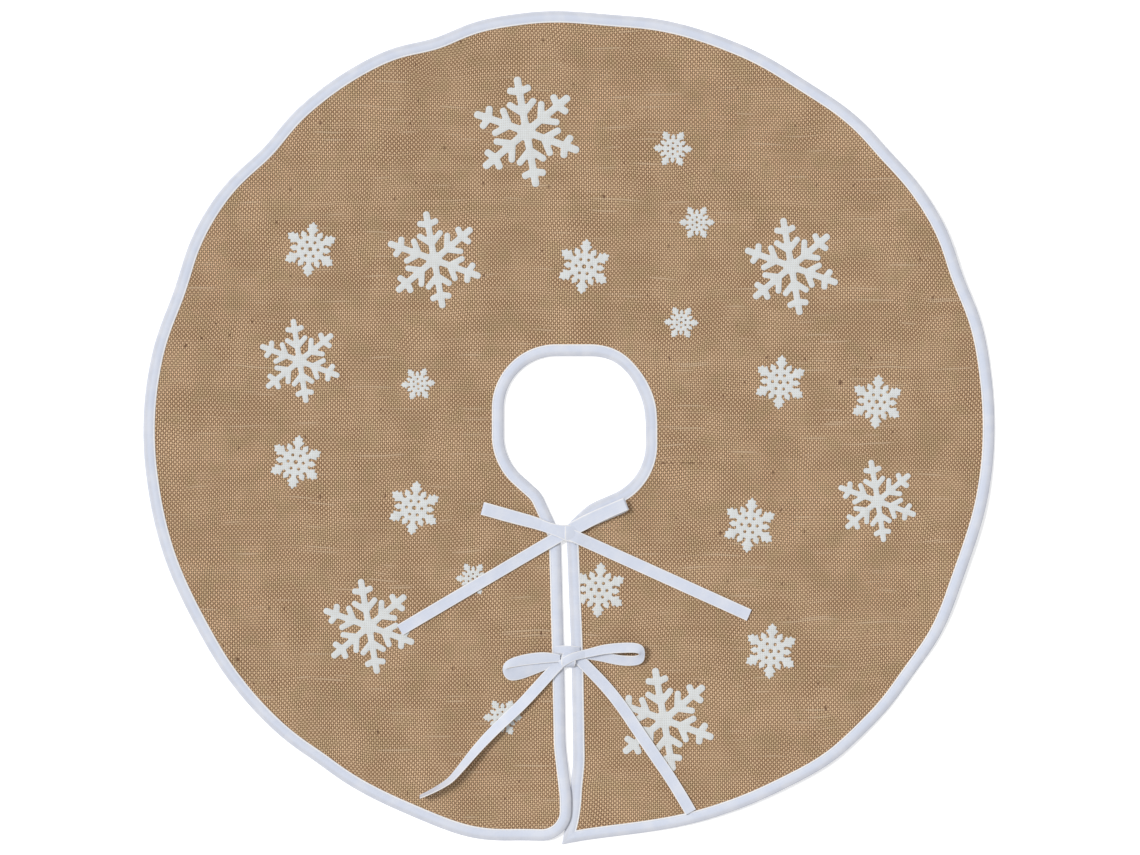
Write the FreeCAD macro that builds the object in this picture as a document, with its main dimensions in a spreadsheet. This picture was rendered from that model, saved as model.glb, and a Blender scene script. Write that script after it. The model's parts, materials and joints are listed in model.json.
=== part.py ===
import FreeCAD, Part
import math
import os

from FreeCAD import Placement, Rotation, Vector

# A flat burlap tree skirt: one slit panel with a folded tape sewn over every edge, two pairs of tape ties
# knotted in bows across the slit, and snowflakes printed on the burlap in thick white ink.
# Millimetres, +Z up. The skirt lies on the plane z = 0 with its slit towards -Y. The origin is the middle
# of its footprint. The cloth can bend at one line across the neck hole, so every soft piece that crosses
# that line is cut into lengths there, and the neck, slit and hem tapes are lengths of one tape.

DIMENSIONS = {
    # cloth and edge tape
    "floor_level": 0.0,       # underside of the tape
    "tape_layer": 0.6,        # one folded side of the edge tape, two plies
    "cloth_thick": 1.0,       # burlap
    "edge_turn": 1.0,         # how far the burlap stops short of the outside of the tape's fold
    "tape_width": 10.5,       # visible width of the edge tape
    "seam_inset": 8.8,        # seam thread, measured from the free edge
    "thread_width": 0.5,
    "thread_high": 0.15,
    # bend line across the skirt
    "bend_line": -3.5,        # its Y
    "bend_gap": 0.3,          # between the two halves
    # printed snowflakes
    "print_thick": 0.35,
    # ties
    "tie_width": 10.0,
    "tie_thick": 0.8,
    "tie_lift": 2.6,          # underside of the tails and loops
    "root_lift": 2.35,        # underside of the sewn ends, on top of the seam thread
    "root_thick": 0.6,
    "root_long": 11.0,
    "tack_long": 8.0,
    "upper_knot_long": 20.0,
    "upper_knot_wide": 14.0,
    "upper_knot_high": 4.2,
    "lower_knot_long": 18.0,
    "lower_knot_wide": 12.0,
    "lower_knot_high": 4.6,
    "half_knot_long": 20.0,
    "half_knot_wide": 5.0,
    "half_knot_high": 1.2,
    "upper_loop_high": 2.6,   # outside height of a flattened loop
    "lower_loop_high": 6.0,   # outside height of an open loop
}

# Distance of the hand-cut hem from the centre, one for each 15 degrees, from 75 degrees clockwise of +X
# round through +Y to the left of the slit.
HEM_REACH = [370, 375, 380, 383, 381, 380.5, 381, 382, 380, 377, 375, 374,
             373, 376, 375, 379, 378, 381.5, 380, 380, 378, 375, 374]
HEM_STEP = 15.0
HEM_START = -75.0

# Corners of the slit and the neck hole as (x, y, radius), from the hem up the left side of the slit,
# clockwise round the neck hole and down the right side to the hem.
LEFT_SLIT = [(2.4, -371.5, 26.0), (2.2, -330.0, 80.0), (-3.0, -285.0, 120.0), (-4.5, -208.0, 300.0),
             (-7.5, -96.6, 30.0)]
NECK_HOLE = [(-25.0, -58.2, 30.0), (-58.5, -28.2, 48.0), (-58.5, 64.4, 47.0), (68.5, 64.4, 50.0),
             (68.5, -46.5, 48.0), (17.8, -68.1, 50.0)]
RIGHT_SLIT = [(-2.6, -87.1, 16.0), (2.2, -208.0, 300.0), (3.4, -285.0, 200.0), (4.2, -335.0, 60.0),
              (-1.0, -374.1, 0.0)]

# Where the neck tape ends and the slit tape begins, where cloth and slit tape are cut under the lower bow,
# and where the slit tape ends at the hem.
NECK_TAPE_END = -97.0
LOWER_CUT = -208.0
SLIT_TAPE_END = -330.0
SLIT_ZONE = 40.0              # half width of the zone that holds the slit tapes
NECK_ZONE = 95.0              # half width of the zone that holds the neck tape
CLIPPED = ((-20.0, -380.0), (9.0, -360.0))  # corner of the cloth clipped off inside the tape's sharp corner

# Half outline of one arm of the open snowflake as (across, along, radius), in parts of the arm's length:
# the stem's foot, a forward branch, a short side lobe and the round tip.
OPEN_ARM = [(0.063, 0.306, 0.02), (0.292, 0.516, 0.055), (0.212, 0.600, 0.055), (0.063, 0.467, 0.02),
            (0.063, 0.676, 0.02), (0.232, 0.727, 0.055), (0.196, 0.846, 0.055), (0.066, 0.806, 0.02),
            (0.066, 1.000, 0.060)]
OPEN_VALLEY = (0.0, 0.135, 0.03)  # where two stems meet
# Half outline of one arm of the dense snowflake: the neck between two gaps and a toothed, pointed head.
DENSE_ARM = [(0.090, 0.465, 0.02), (0.085, 0.545, 0.02), (0.225, 0.715, 0.02), (0.118, 0.755, 0.02),
             (0.158, 0.860, 0.02), (0.062, 0.890, 0.02)]
DENSE_TIP = (0.0, 1.0, 0.03)
# Half outline of the pointed leaf between two arms, with its tip.
DENSE_LEAF = [(0.065, 0.470, 0.02), (0.115, 0.580, 0.04)]
DENSE_LEAF_TIP = (0.0, 0.735, 0.02)
DENSE_EYE = 0.075             # round hole in the middle
DENSE_HOLE = (0.055, 0.275)   # radius and distance of the six holes round it

# Snowflakes as (x, y, arm length, turn in degrees).
LARGE_SNOWFLAKES = [(-38, 265, 50, 10), (-120.5, 150.5, 44, 10), (199, 144.5, 44, 10), (-241, 60, 38, 9),
                    (276.5, -65.5, 37.5, 10), (-179, -177.5, 43, 10), (85, -261, 47, 10)]
MEDIUM_SNOWFLAKES = [(-231.5, 160, 25.5, -6), (13.5, 144.5, 25.5, -6), (189, 41, 25, -4),
                     (275.5, 23.5, 25, -4), (-244.5, -30.5, 25, -8), (-138.5, -71.5, 25, -6),
                     (161.5, -87, 25.5, -6), (27, -145, 25.5, -4), (180.5, -199.5, 25.5, -4)]
SMALL_SNOWFLAKES = [(93, 250, 18, 28), (114.5, 184, 16.5, 30), (100.5, 94.5, 16, 28), (-135, 39.5, 16, 34),
                    (-86, -135, 16, 28), (-59.5, -259, 18, 30)]
HALF_COVERED = "snowflake_medium_8"  # the one whose left side is under the slit tape

# Knots, and loops and tails as (x, y, direction in degrees, length) from where they leave the knot.
UPPER_KNOT = (-5.0, -94.0)
LOWER_KNOT = (-1.0, -208.0)
HALF_KNOT = (-1.0, -198.5)
ROOT_GAP = 0.6                # between the two sewn ends of a pair
LOOPS = {
    "upper_loop_left": (-16.5, -88.0, 165.0, 61.0),
    "upper_loop_right": (6.5, -87.4, 23.6, 48.0),
    "lower_loop_left": (-14.0, -203.5, 192.0, 44.5),
    "lower_loop_right": (12.0, -203.5, 2.0, 56.5),
}
STRAIGHT_TAILS = {
    "upper_tail_left": (-17.5, -102.0, 210.5, 155.0),
    "upper_tail_right": (8.5, -98.5, -24.3, 167.5),
}
# Centre lines of the two curved tails from the knot outwards as (x, y, half width of the tape as it lies):
# the left one turns on edge towards its end.
CURVED_TAILS = {
    "lower_tail_left": [(-12.0, -216.0, 5.0), (-46.0, -247.5, 4.6), (-80.0, -281.0, 3.6),
                        (-104.0, -311.0, 2.4), (-133.0, -329.0, 1.2)],
    "lower_tail_right": [(12.0, -214.0, 5.0), (48.4, -250.6, 5.0), (78.8, -296.0, 5.0),
                         (109.5, -345.0, 5.0)],
}
TAIL_BEND = 60.0              # radius of a curved tail's edges at each point of its centre line
SIDE_SHARE = 0.47             # part of a side that a freely rounded corner may take
FAR = 1000.0                  # larger than the skirt
TALL = 20.0                   # taller than the skirt

doc = FreeCAD.newDocument("tree_skirt")
sheet = doc.addObject("Spreadsheet::Sheet", "Sheet")
for row, (alias, value) in enumerate(DIMENSIONS.items(), start=1):
    sheet.set(f"A{row}", alias)
    sheet.set(f"B{row}", str(value))
    sheet.setAlias(f"B{row}", alias)
doc.recompute()

nodes = []


def node(item, label):
    """Name a finished sub-part and put it on the export list."""
    item.Label = label
    nodes.append(item)
    return item


def bind(item, **sizes):
    """Bind properties of an object to expressions on the sheet."""
    for name, expression in sizes.items():
        item.setExpression(name, expression)
    return item


def lift(item, expression):
    """Bind an object's height above the floor to an expression on the sheet."""
    item.setExpression("Placement.Base.z", expression)
    return item


# ---------------------------------------------------------------- outlines

def rounded_outline(corners):
    """Lines and tangent arcs through closed corners given as (x, y, radius).

    A corner with no radius is rounded as far as its shorter side allows.
    """
    geometry = []
    bends = []
    for index, (x, y, radius) in enumerate(corners):
        corner = Vector(x, y, 0)
        back = Vector(*corners[index - 1][:2], 0) - corner
        ahead = Vector(*corners[(index + 1) % len(corners)][:2], 0) - corner
        half_turn = (math.pi - back.getAngle(ahead)) / 2
        if radius is None:
            radius = SIDE_SHARE * min(back.Length, ahead.Length) / math.tan(half_turn)
        reach = radius * math.tan(half_turn)
        back.normalize()
        ahead.normalize()
        inside = (back + ahead).normalize()
        middle = corner + inside * (radius / math.cos(half_turn) - radius)
        bends.append((corner + back * reach, middle, corner + ahead * reach, radius))
    for index, (start, middle, end, radius) in enumerate(bends):
        if radius > 0:
            geometry.append(Part.Arc(start, middle, end))
        geometry.append(Part.LineSegment(end, bends[(index + 1) % len(bends)][0]))
    return geometry


def hem_corners():
    """Corners of the hem."""
    half = math.radians(HEM_STEP / 2)
    corners = []
    for index, reach in enumerate(HEM_REACH):
        angle = math.radians(HEM_START + index * HEM_STEP)
        out = reach / math.cos(half)
        corners.append((out * math.cos(angle), out * math.sin(angle), None))
    return corners


def star_corners(arm, tip, leaf, leaf_tip, size):
    """Corners of a six-armed outline from half an arm and half a leaf between two arms."""
    def placed(across, along, radius, angle):
        out = Rotation(Vector(0, 0, 1), angle).multVec(Vector(across * size, along * size, 0))
        return (out.x, out.y, radius * size)

    corners = []
    for arm_number in range(6):
        angle = 60.0 * arm_number
        corners += [placed(x, y, radius, angle) for x, y, radius in arm]
        corners += [placed(*tip, angle)] if tip else []
        corners += [placed(-x, y, radius, angle) for x, y, radius in reversed(arm)]
        corners += [placed(x, y, radius, angle + 30.0) for x, y, radius in leaf]
        corners.append(placed(*leaf_tip, angle + 30.0))
        corners += [placed(-x, y, radius, angle + 30.0) for x, y, radius in reversed(leaf)]
    return corners


def circle(x, y, radius):
    """A full circle in the XY plane."""
    return Part.Circle(Vector(x, y, 0), Vector(0, 0, 1), radius)


# ---------------------------------------------------------------- builders

def flat_sketch(name, geometry):
    """A free sketch in the XY plane."""
    sketch = doc.addObject("Sketcher::SketchObject", name)
    sketch.addGeometry(geometry, False)
    return sketch


def inset_outline(name, source, expression):
    """The outline moved into the cloth."""
    outline = doc.addObject("Part::Offset2D", name)
    outline.Source = source
    outline.Join = "Arc"
    bind(outline, Value=expression)
    return outline


def slab(name, outline, bottom, thickness):
    """An outline made solid between a height and a height plus a thickness."""
    solid = doc.addObject("Part::Extrusion", name)
    solid.Base = outline
    solid.DirMode = "Custom"
    solid.Dir = Vector(0, 0, 1)
    solid.Solid = True
    bind(solid, LengthFwd=thickness)
    return lift(solid, bottom)


def cut(name, base, tool):
    """One shape less another."""
    result = doc.addObject("Part::Cut", name)
    result.Base = base
    result.Tool = tool
    return result


def common(name, base, tool):
    """What two shapes share."""
    result = doc.addObject("Part::Common", name)
    result.Base = base
    result.Tool = tool
    return result


def zone(name, low, high):
    """A tall box over a part of the plan, used to cut lengths from the cloth and tapes."""
    box = doc.addObject("Part::Box", name)
    box.Length = high[0] - low[0]
    box.Width = high[1] - low[1]
    box.Height = TALL
    box.Placement = Placement(Vector(low[0], low[1], -TALL / 2), Rotation())
    return box


def padded_body(label, geometry, thickness, placement, plane="XY_Plane", midplane=False):
    """A PartDesign body with one closed sketch and one pad."""
    body = doc.addObject("PartDesign::Body", label)
    sketch = body.newObject("Sketcher::SketchObject", label + "_sketch")
    support = next(item for item in body.Origin.OriginFeatures if item.Role == plane)
    sketch.AttachmentSupport = [(support, "")]
    sketch.MapMode = "FlatFace"
    sketch.addGeometry(geometry, False)
    pad = body.newObject("PartDesign::Pad", label + "_pad")
    pad.Profile = sketch
    pad.Midplane = midplane
    bind(pad, Length=thickness)
    body.Tip = pad
    body.Placement = placement
    return body


def turned(x, y, angle):
    """A placement in the plan, turned about the vertical."""
    return Placement(Vector(x, y, 0), Rotation(Vector(0, 0, 1), angle))


# ---------------------------------------------------------------- cloth, tapes and seams

def build_cloth_and_tapes():
    """The burlap panel, its edge tape and the seam thread, each cut into lengths."""
    free_edge = flat_sketch("free_edge", rounded_outline(hem_corners() + LEFT_SLIT + NECK_HOLE + RIGHT_SLIT))
    cloth_edge = inset_outline("cloth_edge", free_edge, "-Sheet.edge_turn")
    tape_edge = inset_outline("tape_edge", free_edge, "-Sheet.tape_width")
    seam_outside = inset_outline("seam_outside", free_edge, "-Sheet.seam_inset")
    seam_inside = inset_outline("seam_inside", free_edge, "-Sheet.seam_inset - Sheet.thread_width")

    tape_height = "2 * Sheet.tape_layer + Sheet.cloth_thick"
    cloth = cut("cloth", slab("cloth_blank", cloth_edge, "Sheet.tape_layer", "Sheet.cloth_thick"),
                zone("clipped_corner", *CLIPPED))
    whole = slab("tape_blank", free_edge, "Sheet.floor_level", tape_height)
    middle = slab("tape_middle", tape_edge, "Sheet.floor_level", tape_height)
    tape = cut("tape", cut("tape_ring", whole, middle), cloth)
    seam = cut("seam", slab("seam_blank", seam_outside, tape_height, "Sheet.thread_high"),
               slab("seam_middle", seam_inside, tape_height, "Sheet.thread_high"))

    return cloth, tape, seam


def split_by_slit(shape):
    """Left and right solids of a front piece that the slit parts."""
    solids = sorted(shape.Solids, key=lambda solid: solid.CenterOfMass.x)
    return solids[0], solids[-1]


def build_lengths(cloth, tape, seam):
    """Named lengths of panel, tape and seam thread."""
    bend = DIMENSIONS["bend_line"]
    half_gap = DIMENSIONS["bend_gap"] / 2
    back = zone("back_zone", (-FAR, bend + half_gap), (FAR, FAR))
    front = zone("front_zone", (-FAR, -FAR), (FAR, bend - half_gap))
    middle = zone("middle_zone", (-FAR, LOWER_CUT), (FAR, bend - half_gap))
    low = zone("low_zone", (-FAR, -FAR), (FAR, LOWER_CUT))
    neck = zone("neck_zone", (-NECK_ZONE, NECK_TAPE_END), (NECK_ZONE, NECK_ZONE))
    slit = zone("slit_zone", (-SLIT_ZONE, SLIT_TAPE_END), (SLIT_ZONE, NECK_TAPE_END))

    node(common("back_panel", cloth, back), "back_panel")
    tape_back = common("tape_back", tape, back)
    node(cut("hem_binding_back", tape_back, neck), "hem_binding_back")
    node(common("neck_binding_back", tape_back, neck), "neck_binding_back")
    seam_back = common("seam_back", seam, back)
    node(common("neck_seam_thread_back", seam_back, neck), "neck_seam_thread_back")
    hem_seam = cut("hem_seam_back", seam_back, neck)
    for side, low_x in (("left", -FAR), ("right", 0.0)):
        quarter = zone(f"back_{side}_zone", (low_x, -FAR), (low_x + FAR, FAR))
        node(common(f"seam_thread_back_{side}", hem_seam, quarter), f"seam_thread_back_{side}")

    tape_front = common("tape_front", tape, front)
    slit_tape = common("slit_tape", tape_front, slit)
    neck_tape = common("neck_tape", tape_front, neck)
    hem_tape = cut("hem_tape", cut("hem_and_slit_tape", tape_front, neck), slit)
    pairs = {
        "middle_panel": common("middle_cloth", cloth, middle),
        "front_panel": common("front_cloth", cloth, low),
        "hem_binding": hem_tape,
        "upper_slit_binding": common("upper_slit_tape", slit_tape, middle),
        "lower_slit_binding": common("lower_slit_tape", slit_tape, low),
        "neck_binding": neck_tape,
        "seam_thread": common("front_seam", seam, front),
    }
    doc.recompute()
    for kind, source in pairs.items():
        for side, solid in zip(("left", "right"), split_by_slit(source.Shape)):
            label = f"{side}_{kind}" if kind.endswith("panel") else f"{kind}_{side}"
            half = doc.addObject("Part::Feature", label)
            half.Shape = solid
            node(half, label)


# ---------------------------------------------------------------- printed snowflakes

def build_snowflake(label, geometry, x, y, turn):
    """One print: an outline in thick ink, on top of the burlap."""
    body = padded_body(label, geometry, "Sheet.print_thick", turned(x, y, turn))
    return lift(body, "Sheet.tape_layer + Sheet.cloth_thick")


def open_star(size):
    """Branched snowflake with bare stems."""
    return rounded_outline(star_corners(OPEN_ARM, None, [], OPEN_VALLEY, size))


def dense_star(size):
    """Closed snowflake with toothed heads and seven holes."""
    geometry = rounded_outline(star_corners(DENSE_ARM, DENSE_TIP, DENSE_LEAF, DENSE_LEAF_TIP, size))
    geometry.append(circle(0, 0, DENSE_EYE * size))
    hole, distance = DENSE_HOLE
    for number in range(6):
        angle = math.radians(60.0 * number)
        geometry.append(circle(distance * size * math.cos(angle), distance * size * math.sin(angle),
                               hole * size))
    return geometry


def build_snowflakes(tape):
    """All prints; the one beside the slit is trimmed where the tape covers it."""
    families = (("large", LARGE_SNOWFLAKES, open_star), ("medium", MEDIUM_SNOWFLAKES, dense_star),
                ("small", SMALL_SNOWFLAKES, dense_star))
    for family, places, star in families:
        for number, (x, y, size, turn) in enumerate(places, start=1):
            label = f"snowflake_{family}_{number}"
            if label == HALF_COVERED:
                whole = build_snowflake(label + "_whole", star(size), x, y, turn)
                node(cut(label, whole, tape), label)
            else:
                node(build_snowflake(label, star(size), x, y, turn), label)


# ---------------------------------------------------------------- ties

def knot(label, centre, size, bottom):
    """A knot as a block with a rounded top."""
    block = doc.addObject("Part::Box", label + "_block")
    bind(block, Length=f"Sheet.{size}_long", Width=f"Sheet.{size}_wide", Height=f"Sheet.{size}_high")
    bind(block, **{"Placement.Base.x": f"{centre[0]} - Sheet.{size}_long / 2",
                   "Placement.Base.y": f"{centre[1]} - Sheet.{size}_wide / 2"})
    lift(block, bottom)
    doc.recompute()
    rounding = 0.3 * min(DIMENSIONS[size + "_wide"], DIMENSIONS[size + "_high"])
    soft = doc.addObject("Part::Fillet", label)
    soft.Base = block
    top = block.Shape.BoundBox.ZMax
    edges = [number for number, edge in enumerate(block.Shape.Edges, start=1)
             if all(abs(vertex.Z - top) < 0.001 for vertex in edge.Vertexes)]
    soft.Edges = [(number, rounding, rounding) for number in edges]
    return node(soft, label)


def sewn_ends(pair, centre):
    """The two tie ends of a pair, from the slit tapes in under the knot."""
    for side, sign in (("left", -1), ("right", 1)):
        end = doc.addObject("Part::Box", f"{pair}_tie_end_{side}")
        bind(end, Length="Sheet.root_long", Width="Sheet.tie_width", Height="Sheet.root_thick")
        near = f"{centre[0]} + {sign * ROOT_GAP / 2}"
        start = near if sign > 0 else near + " - Sheet.root_long"
        bind(end, **{"Placement.Base.x": start, "Placement.Base.y": f"{centre[1]} - Sheet.tie_width / 2"})
        node(lift(end, "Sheet.root_lift"), f"{pair}_tie_end_{side}")


def bar_tacks():
    """Four short bars of thread that hold the tie ends, as one node."""
    bars = []
    for pair, (x, y) in (("upper", UPPER_KNOT), ("lower", LOWER_KNOT)):
        for sign in (-1, 1):
            bar = doc.addObject("Part::Box", f"{pair}_tack_{'left' if sign < 0 else 'right'}")
            bind(bar, Length="Sheet.thread_width", Width="Sheet.tack_long", Height="Sheet.thread_high")
            outer = f"{x} + {sign} * (Sheet.root_long - Sheet.thread_width)"
            bind(bar, **{"Placement.Base.x": outer, "Placement.Base.y": f"{y} - Sheet.tack_long / 2"})
            bars.append(lift(bar, "Sheet.root_lift + Sheet.root_thick"))
    group = doc.addObject("Part::Compound", "tie_bar_tacks")
    group.Links = bars
    node(group, "tie_bar_tacks")


def loop_profile(length, height, thickness):
    """Side view of a loop: a tape that runs out, turns over and comes back."""
    bend = height / 2
    straight = length - bend
    inner = bend - thickness
    return [
        Part.LineSegment(Vector(0, 0, 0), Vector(straight, 0, 0)),
        Part.Arc(Vector(straight, 0, 0), Vector(length, bend, 0), Vector(straight, height, 0)),
        Part.LineSegment(Vector(straight, height, 0), Vector(0, height, 0)),
        Part.LineSegment(Vector(0, height, 0), Vector(0, height - thickness, 0)),
        Part.LineSegment(Vector(0, height - thickness, 0), Vector(straight, height - thickness, 0)),
        Part.Arc(Vector(straight, height - thickness, 0), Vector(straight + inner, bend, 0),
                 Vector(straight, thickness, 0)),
        Part.LineSegment(Vector(straight, thickness, 0), Vector(0, thickness, 0)),
        Part.LineSegment(Vector(0, thickness, 0), Vector(0, 0, 0)),
    ]


def build_loops():
    """The four loops of the bows."""
    for label, (x, y, direction, length) in LOOPS.items():
        height = DIMENSIONS["upper_loop_high" if label.startswith("upper") else "lower_loop_high"]
        profile = loop_profile(length, height, DIMENSIONS["tie_thick"])
        body = padded_body(label, profile, "Sheet.tie_width", turned(x, y, direction), "XZ_Plane", True)
        node(lift(body, "Sheet.tie_lift"), label)


def tail_outline(points):
    """Outline of a flat curved tape from its centre line and half widths."""
    left = []
    right = []
    for index, (x, y, half) in enumerate(points):
        before = points[max(index - 1, 0)]
        after = points[min(index + 1, len(points) - 1)]
        along = Vector(after[0] - before[0], after[1] - before[1], 0).normalize()
        radius = TAIL_BEND if 0 < index < len(points) - 1 else 0.0
        left.append((x - along.y * half, y + along.x * half, radius))
        right.append((x + along.y * half, y - along.x * half, radius))
    return rounded_outline(left + right[::-1])


def build_tails():
    """The four tails of the bows: two straight, two curved."""
    half = DIMENSIONS["tie_width"] / 2
    for label, (x, y, direction, length) in STRAIGHT_TAILS.items():
        strip = rounded_outline([(0, -half, 0), (length, -half, 0), (length, half, 0), (0, half, 0)])
        body = padded_body(label, strip, "Sheet.tie_thick", turned(x, y, direction))
        node(lift(body, "Sheet.tie_lift"), label)
    for label, points in CURVED_TAILS.items():
        body = padded_body(label, tail_outline(points), "Sheet.tie_thick", turned(0, 0, 0))
        node(lift(body, "Sheet.tie_lift"), label)


def build_ties():
    """Sewn ends, bar tacks, knots, loops and tails of both bows."""
    sewn_ends("upper", UPPER_KNOT)
    sewn_ends("lower", LOWER_KNOT)
    bar_tacks()
    on_roots = "Sheet.root_lift + Sheet.root_thick + Sheet.thread_high"
    knot("upper_knot", UPPER_KNOT, "upper_knot", on_roots)
    knot("lower_knot", LOWER_KNOT, "lower_knot", on_roots)
    knot("lower_half_knot", HALF_KNOT, "half_knot", "Sheet.tie_lift")
    build_loops()
    build_tails()


# ---------------------------------------------------------------- check and export

def check_and_export():
    """Stop on any failed object or bad shape, then write one file for each node."""
    doc.recompute()
    for item in doc.Objects:
        if "Invalid" in item.State or "Error" in item.State:
            raise RuntimeError(f"{item.Label} failed: {item.State}")
    os.makedirs("parts", exist_ok=True)
    for item in nodes:
        shape = item.Shape
        if shape.isNull() or not shape.isValid() or not shape.Solids:
            raise RuntimeError(f"{item.Label} has no valid solid")
        shape.exportStep(f"parts/{item.Label}.step")
        print(f"{item.Label}: {len(shape.Solids)} solid(s), {shape.Volume:.1f} mm3")
    box = Part.makeCompound([item.Shape for item in nodes]).BoundBox
    print(f"{len(nodes)} nodes, box {box}")


cloth_solid, tape_solid, seam_solid = build_cloth_and_tapes()
build_lengths(cloth_solid, tape_solid, seam_solid)
build_snowflakes(tape_solid)
build_ties()
check_and_export()
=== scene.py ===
"""Looks of a flat burlap tree skirt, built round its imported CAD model.

Metres, +Z up, in the CAD model's frame: the skirt lies on the floor with its slit towards -Y. Every piece is
built flat and then settled onto one shared lie, so that cloth, tape, prints and ties wave together.
"""

import json
import logging
import math
from collections.abc import Callable, Sequence
from dataclasses import dataclass
from enum import Enum

import bmesh
import bpy
import numpy as np
from mathutils import Matrix, Vector, noise

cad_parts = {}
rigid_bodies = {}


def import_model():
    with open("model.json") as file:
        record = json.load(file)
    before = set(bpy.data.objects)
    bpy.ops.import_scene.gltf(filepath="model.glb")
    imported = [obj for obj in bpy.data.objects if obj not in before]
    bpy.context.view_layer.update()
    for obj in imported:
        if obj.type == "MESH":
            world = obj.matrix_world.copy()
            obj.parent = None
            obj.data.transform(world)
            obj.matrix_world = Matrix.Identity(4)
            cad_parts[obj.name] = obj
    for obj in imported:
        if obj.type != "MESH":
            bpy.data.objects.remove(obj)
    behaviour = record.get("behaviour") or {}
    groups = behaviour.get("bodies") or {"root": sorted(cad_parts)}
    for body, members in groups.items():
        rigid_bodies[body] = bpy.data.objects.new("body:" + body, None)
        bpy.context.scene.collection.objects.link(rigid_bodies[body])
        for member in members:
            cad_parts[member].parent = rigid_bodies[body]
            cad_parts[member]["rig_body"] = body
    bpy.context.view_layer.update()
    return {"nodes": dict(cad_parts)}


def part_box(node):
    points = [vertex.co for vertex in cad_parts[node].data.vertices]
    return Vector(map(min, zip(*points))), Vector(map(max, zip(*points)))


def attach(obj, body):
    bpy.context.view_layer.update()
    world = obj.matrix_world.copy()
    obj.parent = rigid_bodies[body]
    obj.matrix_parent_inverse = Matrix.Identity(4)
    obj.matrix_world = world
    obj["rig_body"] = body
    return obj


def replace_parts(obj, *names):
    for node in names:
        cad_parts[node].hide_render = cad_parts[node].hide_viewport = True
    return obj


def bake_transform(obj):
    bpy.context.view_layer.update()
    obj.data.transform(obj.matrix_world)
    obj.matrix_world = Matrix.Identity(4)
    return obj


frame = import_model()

MM = 0.001
WELD = 1e-6                     # distance at which a CAD node's loose triangles are joined
BEND_LINE = -3.5 * MM           # Y of the line where the front half starts to lift
BEND_END = -43.5 * MM           # Y from which cloth follows the front half alone
BEND_ROW = 1.6 * MM             # height of a row of the cloth where it bends
FLAT_NORMAL = 0.9               # least Z of the normal of a face that counts as level
CREASE = math.radians(40.0)     # sharper edges than this stay sharp
COPLANAR = 0.01                 # radians between neighbouring faces that count as one flat face
UPRIGHT = 0.1                   # most Z of the normal of a face that counts as a side
MIX_SHARE, MIX_LOW, MIX_HIGH, MIX_RESULT = 0, 6, 7, 2       # sockets of a Mix node for colours
RIM = 0.37                      # distance of the hem from the middle

Colour = tuple[float, float, float]
Point = tuple[float, float, float]
Rails = Sequence[tuple[Point, Point]]
Corner = tuple[float, float, float | None]

log = logging.getLogger("tree_skirt")


def eased(value: float, low: float, high: float) -> float:
    """Rise smoothly from 0 at low to 1 at high."""
    share = min(1.0, max(0.0, (value - low) / (high - low)))
    return share * share * (3.0 - 2.0 * share)


# ------------------------------------------------------------------ how the skirt lies

@dataclass(frozen=True)
class Ripple:
    """One place where the hem is drawn in or pushed out."""

    heading: float          # degrees from +X
    push: float             # millimetres outwards
    spread: float           # degrees

    def at(self, angle: float) -> float:
        """The push in metres at an angle in degrees."""
        off = (angle - self.heading + 180.0) % 360.0 - 180.0
        return self.push * MM * math.exp(-((off / self.spread) ** 2))


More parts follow.
